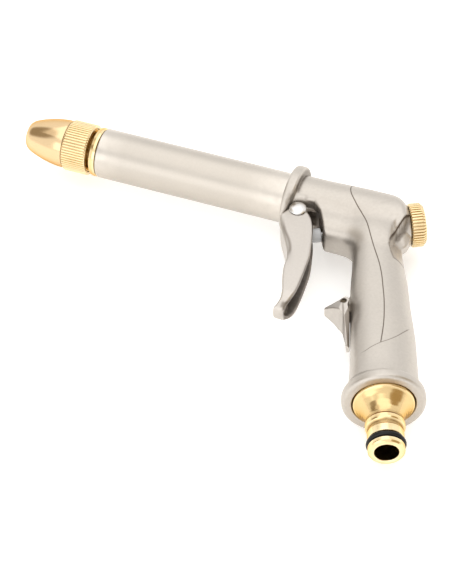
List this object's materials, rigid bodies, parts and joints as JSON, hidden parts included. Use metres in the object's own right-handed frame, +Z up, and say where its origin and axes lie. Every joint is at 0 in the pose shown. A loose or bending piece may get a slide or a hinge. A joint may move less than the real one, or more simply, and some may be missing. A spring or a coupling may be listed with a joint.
{
  "type": "hose spray nozzle",
  "caption": "Pistol-grip hose spray nozzle: long barrel, front trigger with lock catch, twist nozzle head, rear flow knob and quick-connect hose inlet.",
  "frame": {"origin": "centre of the bottom face of the bounding box, with the gun lying on its right side", "axes": "-X along the barrel towards the nozzle head, -Y down the handle towards the hose inlet, +Z up, out of the gun's left side"},
  "size_m": [0.2296, 0.148, 0.0362],
  "materials": {
    "cast_nickel": "satin nickel plate over die-cast zinc, fine cast grain",
    "barrel_satin": "satin plated tube, smoother than the casting",
    "trigger_nickel": "satin nickel plate over die-cast zinc",
    "steel": "stainless steel, turned",
    "brass": "turned brass",
    "knob_brass": "bright turned brass, coarse ribs",
    "nozzle_brass": "polished turned brass",
    "inlet_brass": "polished turned brass, amber in the grooves",
    "cap_nylon": "natural nylon",
    "rubber": "black nitrile rubber"
  },
  "bodies": {
    "body": {"body_casting": "cast_nickel", "barrel_tube": "barrel_satin", "barrel_oring": "rubber", "nozzle_spindle": "brass", "spindle_oring": "rubber", "trigger_pin": "steel", "catch_pin": "steel", "gland_nut": "brass", "stem_oring": "rubber", "valve_spring": "steel", "rear_bonnet": "brass", "bonnet_oring": "rubber", "inlet_adapter": "inlet_brass", "inlet_washer": "rubber", "nipple_oring": "rubber"},
    "trigger": {"trigger": "trigger_nickel"},
    "valve_stem_set": {"stem_cap": "cap_nylon", "valve_stem": "steel", "poppet_washer": "rubber", "valve_poppet": "brass", "poppet_nut": "brass"},
    "nozzle_seal": {"nozzle_seal_ring": "rubber"},
    "nozzle_head": {"nozzle_tip": "nozzle_brass", "nozzle_grip_ring": "nozzle_brass"},
    "flow_seal": {"flow_seal_ring": "rubber"},
    "flow_control": {"flow_spindle": "brass", "flow_knob": "knob_brass", "knob_screw": "steel"},
    "catch": {"lock_catch": "trigger_nickel"}
  },
  "joints": [
    {"name": "trigger_pivot", "type": "hinge", "parent": "body", "child": "trigger", "pos_m": [0.02592, 0.04587, 0.0181], "axis": [0, 0, 1], "range_deg": [0, 17], "stiffness_Nm_per_rad": 0.3, "springref_deg": -28.65},
    {"name": "stem_slide", "type": "slide", "parent": "body", "child": "valve_stem_set", "axis": [0.8829, 0.4695, 0], "range_m": [0, 0.0036], "deforming": ["valve_spring"]},
    {"name": "nozzle_advance", "type": "slide", "parent": "body", "child": "nozzle_seal", "axis": [-1, 0, 0], "range_m": [-0.00103, 0.0036]},
    {"name": "nozzle_turn", "type": "hinge", "parent": "nozzle_seal", "child": "nozzle_head", "pos_m": [-0.09228, 0.05788, 0.0181], "axis": [-1, 0, 0], "range_deg": [-120, 420]},
    {"name": "flow_advance", "type": "slide", "parent": "body", "child": "flow_seal", "axis": [0.8829, 0.4695, 0], "range_m": [-0.00004, 0.0028]},
    {"name": "flow_turn", "type": "hinge", "parent": "flow_seal", "child": "flow_control", "pos_m": [0.07472, 0.05951, 0.0181], "axis": [0.8829, 0.4695, 0], "range_deg": [0, 720]},
    {"name": "catch_turn", "type": "hinge", "parent": "body", "child": "catch", "pos_m": [0.06412, -0.00093, 0.0181], "axis": [0, 0, 1], "range_deg": [-35, 0]}
  ],
  "couplings": [
    {"joint": "stem_slide", "follows": "trigger_pivot", "m_per_rad": 0.0118},
    {"joint": "nozzle_advance", "follows": "nozzle_turn", "m_per_rad": 0.00047746},
    {"joint": "flow_advance", "follows": "flow_turn", "m_per_rad": 0.00019894}
  ]
}
